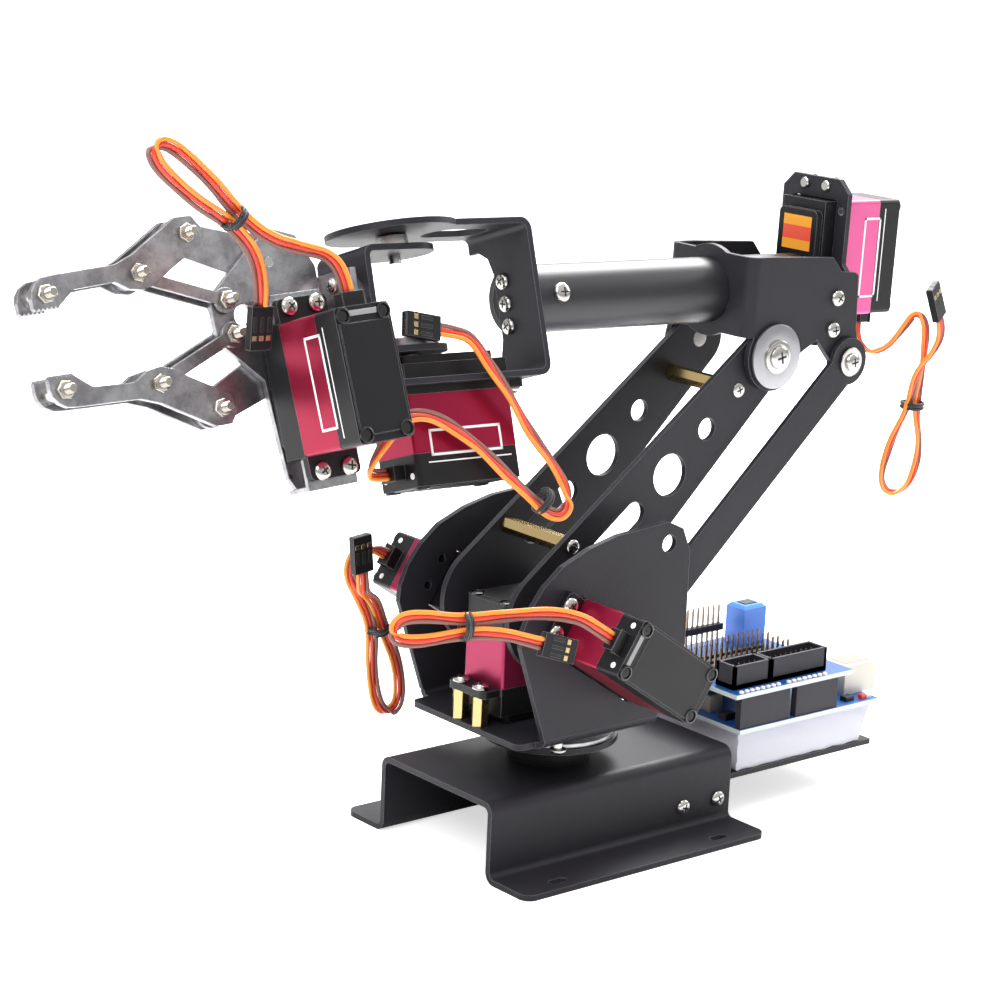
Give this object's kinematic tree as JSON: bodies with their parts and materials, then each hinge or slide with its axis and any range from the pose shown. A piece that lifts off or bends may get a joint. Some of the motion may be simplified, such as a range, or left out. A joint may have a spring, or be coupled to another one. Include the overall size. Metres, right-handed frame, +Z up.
{
  "type": "robot arm",
  "caption": "Desktop servo robot arm: channel base with turntable, parallelogram upper arm, rolling forearm tube, turning wrist and a geared parallel-jaw gripper.",
  "frame": {"origin": "middle of the base channel's footprint, on the table plane under its feet", "axes": "+Z up, -X the way the gripper reaches, +X toward the controller tray, -Y the side with the crank and the tie rod"},
  "size_m": [0.3653, 0.126, 0.2433],
  "materials": {
    "black_coat": "satin fine grain powder coat",
    "black_plastic": "satin",
    "magenta_anodised": "satin anodised",
    "mill_aluminium": "satin",
    "stainless": "bright",
    "brass": "machined",
    "board_blue": "gloss solder mask",
    "connector_black": "matte",
    "foam_white": "open cell foam",
    "cable_orange": "matte jacket"
  },
  "bodies": {
    "base": {"base_channel": "black_coat", "controller_tray": "black_plastic", "foam_pad": "foam_white", "controller_board": "board_blue", "shield_board": "board_blue", "board_connectors": "connector_black", "turntable_ring": "black_plastic", "turntable_hub": "mill_aluminium", "base_fasteners": "stainless"},
    "turret": {"turret_bracket": "black_coat", "base_motor_standoffs": "brass", "base_motor_case": "black_plastic", "base_motor_band": "magenta_anodised", "near_motor_case": "black_plastic", "near_motor_band": "magenta_anodised", "far_motor_case": "black_plastic", "far_motor_band": "magenta_anodised", "near_motor_lead": "cable_orange", "far_motor_lead": "cable_orange", "turret_lead_plugs": "black_plastic", "turret_fasteners": "stainless"},
    "upper_arm": {"arm_plate_near": "black_coat", "arm_plate_far": "black_coat", "arm_standoffs": "brass", "shoulder_horn": "mill_aluminium", "elbow_pivots": "stainless", "arm_fasteners": "stainless"},
    "crank": {"crank": "black_coat"},
    "tie_rod": {"tie_rod": "black_coat"},
    "elbow": {"elbow_bracket": "black_coat", "roll_motor_mount": "black_coat", "roll_motor_case": "black_plastic", "roll_motor_band": "magenta_anodised", "roll_motor_lead": "cable_orange", "roll_lead_plug": "black_plastic", "elbow_fasteners": "stainless"},
    "forearm": {"forearm_tube": "black_coat", "tube_plugs": "black_plastic", "wrist_fork": "black_coat", "wrist_motor_case": "black_plastic", "wrist_motor_band": "magenta_anodised", "wrist_motor_lead": "cable_orange", "wrist_lead_plug": "black_plastic", "fork_fasteners": "stainless"},
    "palm": {"wrist_yoke": "black_coat", "wrist_discs": "mill_aluminium", "palm_bracket": "mill_aluminium", "grip_motor_case": "black_plastic", "grip_motor_band": "magenta_anodised", "grip_motor_lead": "cable_orange", "grip_lead_plug": "black_plastic", "palm_fasteners": "stainless"},
    "gear_arm_upper": {"gear_arm_upper": "mill_aluminium"},
    "gear_arm_lower": {"gear_arm_lower": "mill_aluminium"},
    "jaw_upper": {"jaw_upper": "mill_aluminium", "jaw_upper_bolts": "stainless"},
    "jaw_lower": {"jaw_lower": "mill_aluminium", "jaw_lower_bolts": "stainless"},
    "link_upper": {"link_upper": "mill_aluminium"},
    "link_lower": {"link_lower": "mill_aluminium"}
  },
  "joints": [
    {"name": "base_yaw", "type": "hinge", "parent": "base", "child": "turret", "pos_m": [-0.005, 0, 0.035], "axis": [0, 0, 1], "range_deg": [-90, 90]},
    {"name": "shoulder_lean", "type": "hinge", "parent": "turret", "child": "upper_arm", "pos_m": [-0.02, 0, 0.0785], "axis": [0, 1, 0], "range_deg": [-45, 18]},
    {"name": "elbow_lift", "type": "hinge", "parent": "upper_arm", "child": "elbow", "pos_m": [0.0692, 0, 0.1597], "axis": [0, 1, 0], "range_deg": [-8, 22]},
    {"name": "crank_turn", "type": "hinge", "parent": "upper_arm", "child": "crank", "pos_m": [-0.02, 0, 0.0785], "axis": [0, 1, 0], "range_deg": [-9, 23]},
    {"name": "rod_pivot", "type": "hinge", "parent": "crank", "child": "tie_rod", "pos_m": [0.01468, 0, 0.07381], "axis": [0, 1, 0], "range_deg": [-23, 9]},
    {"name": "forearm_roll", "type": "hinge", "parent": "elbow", "child": "forearm", "pos_m": [0.106, 0, 0.17841], "axis": [-0.9994, 0, 0.0349], "range_deg": [-60, 60]},
    {"name": "wrist_turn", "type": "hinge", "parent": "forearm", "child": "palm", "pos_m": [-0.074, 0, 0.1847], "axis": [0.033, 0.3256, 0.9449], "range_deg": [-40, 40]},
    {"name": "grip_close", "type": "hinge", "parent": "palm", "child": "gear_arm_lower", "pos_m": [-0.11485, -0.00442, 0.17329], "axis": [-0.0114, 0.9455, -0.3254], "range_deg": [-18, 16]},
    {"name": "grip_upper", "type": "hinge", "parent": "palm", "child": "gear_arm_upper", "pos_m": [-0.11611, 0.00532, 0.20163], "axis": [-0.0114, 0.9455, -0.3254], "range_deg": [-17, 19]},
    {"name": "jaw_lower_level", "type": "hinge", "parent": "gear_arm_lower", "child": "jaw_lower", "pos_m": [-0.14436, -0.00872, 0.16181], "axis": [-0.0114, 0.9455, -0.3254], "range_deg": [-17, 19]},
    {"name": "jaw_upper_level", "type": "hinge", "parent": "gear_arm_upper", "child": "jaw_upper", "pos_m": [-0.14655, 0.00816, 0.21095], "axis": [-0.0114, 0.9455, -0.3254], "range_deg": [-19, 17]},
    {"name": "link_lower_turn", "type": "hinge", "parent": "palm", "child": "link_lower", "pos_m": [-0.13424, -0.0017, 0.18186], "axis": [-0.0114, 0.9455, -0.3254], "range_deg": [-19, 17]},
    {"name": "link_upper_turn", "type": "hinge", "parent": "palm", "child": "link_upper", "pos_m": [-0.13468, 0.00168, 0.19169], "axis": [-0.0114, 0.9455, -0.3254], "range_deg": [-17, 19]}
  ],
  "couplings": [
    {"joint": "crank_turn", "follows": "elbow_lift", "ratio": 1},
    {"joint": "rod_pivot", "follows": "elbow_lift", "ratio": -1},
    {"joint": "grip_upper", "follows": "grip_close", "ratio": -1},
    {"joint": "jaw_lower_level", "follows": "grip_close", "ratio": -1},
    {"joint": "jaw_upper_level", "follows": "grip_close", "ratio": 1},
    {"joint": "link_lower_turn", "follows": "grip_close", "ratio": 1},
    {"joint": "link_upper_turn", "follows": "grip_close", "ratio": -1}
  ]
}
